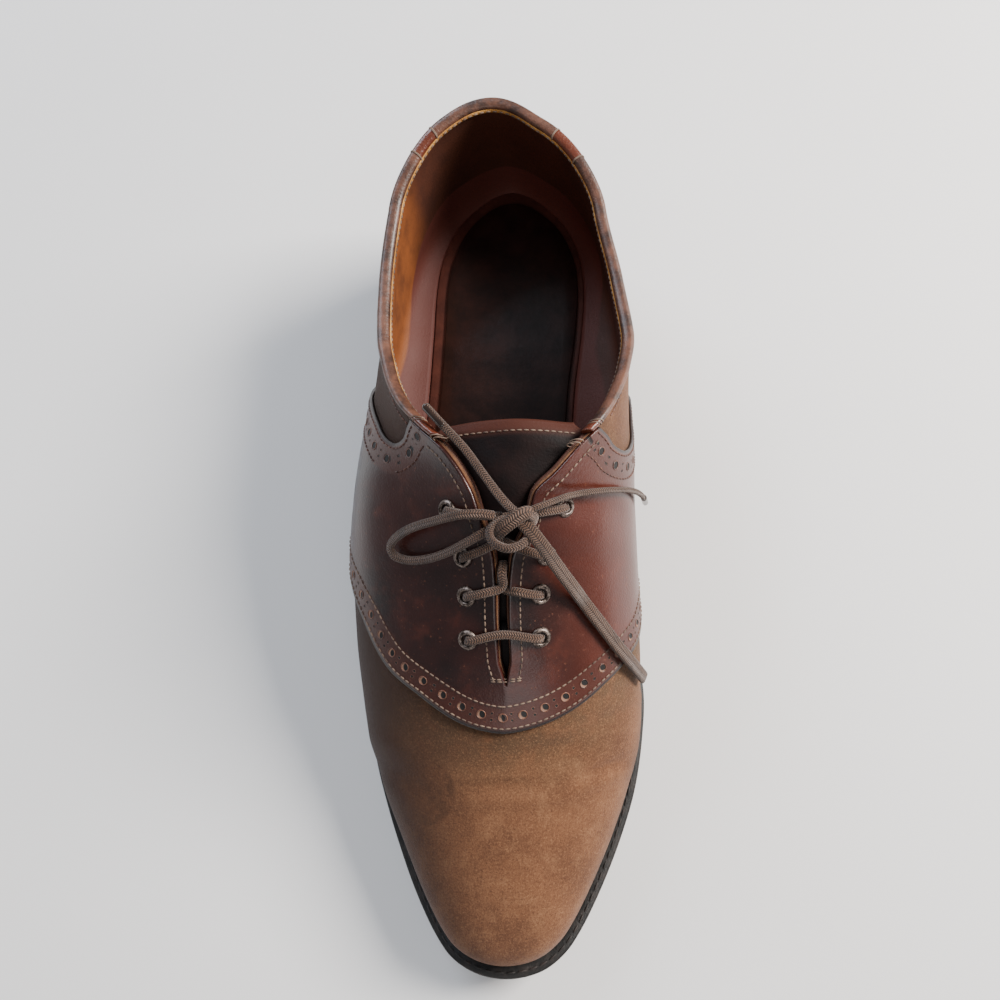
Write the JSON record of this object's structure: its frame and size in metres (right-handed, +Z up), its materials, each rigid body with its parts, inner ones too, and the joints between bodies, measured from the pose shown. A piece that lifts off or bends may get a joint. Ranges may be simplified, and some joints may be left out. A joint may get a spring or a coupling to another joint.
{
  "type": "saddle shoe",
  "caption": "Right lace-up saddle shoe: hollow leather upper with a contrasting brogued saddle, tongue, tied lace, welted leather sole and stacked heel.",
  "frame": {"origin": "centre of the footprint's box, on the floor that the shoe stands on", "axes": "+X medial side, +Y from the toe to the heel, +Z up"},
  "size_m": [0.1029, 0.2959, 0.0923],
  "materials": {
    "nubuck": "matt napped nubuck",
    "saddle_leather": "polished smooth leather",
    "insole_leather": "smooth lining leather",
    "sole_edge": "waxed black sole edge",
    "heel_rubber": "matt rubber",
    "heel_pad_leather": "glossy worn leather",
    "binding_leather": "rolled glossy leather",
    "eyelet_metal": "antique dark metal",
    "lace_cotton": "waxed braid",
    "aglet": "dark glossy tip"
  },
  "bodies": {
    "root": {"outsole": "sole_edge", "welt": "sole_edge", "insole": "insole_leather", "upper": "nubuck", "tongue": "saddle_leather", "heel_stack": "sole_edge", "heel_top_piece": "heel_rubber", "heel_pad": "heel_pad_leather", "saddle": "saddle_leather", "heel_counter": "saddle_leather", "eyelet_lateral_1": "eyelet_metal", "eyelet_lateral_2": "eyelet_metal", "eyelet_lateral_3": "eyelet_metal", "eyelet_lateral_4": "eyelet_metal", "eyelet_medial_1": "eyelet_metal", "eyelet_medial_2": "eyelet_metal", "eyelet_medial_3": "eyelet_metal", "eyelet_medial_4": "eyelet_metal", "collar_binding": "binding_leather", "lace_cross_1": "lace_cotton", "lace_cross_2": "lace_cotton", "lace_cross_3": "lace_cotton", "lace_bar": "lace_cotton", "lace_loop_lateral": "lace_cotton", "lace_loop_medial": "lace_cotton", "lace_end_lateral": "lace_cotton", "lace_end_medial": "lace_cotton", "lace_knot": "lace_cotton", "aglet_lateral": "aglet", "aglet_medial": "aglet"}
  },
  "joints": []
}
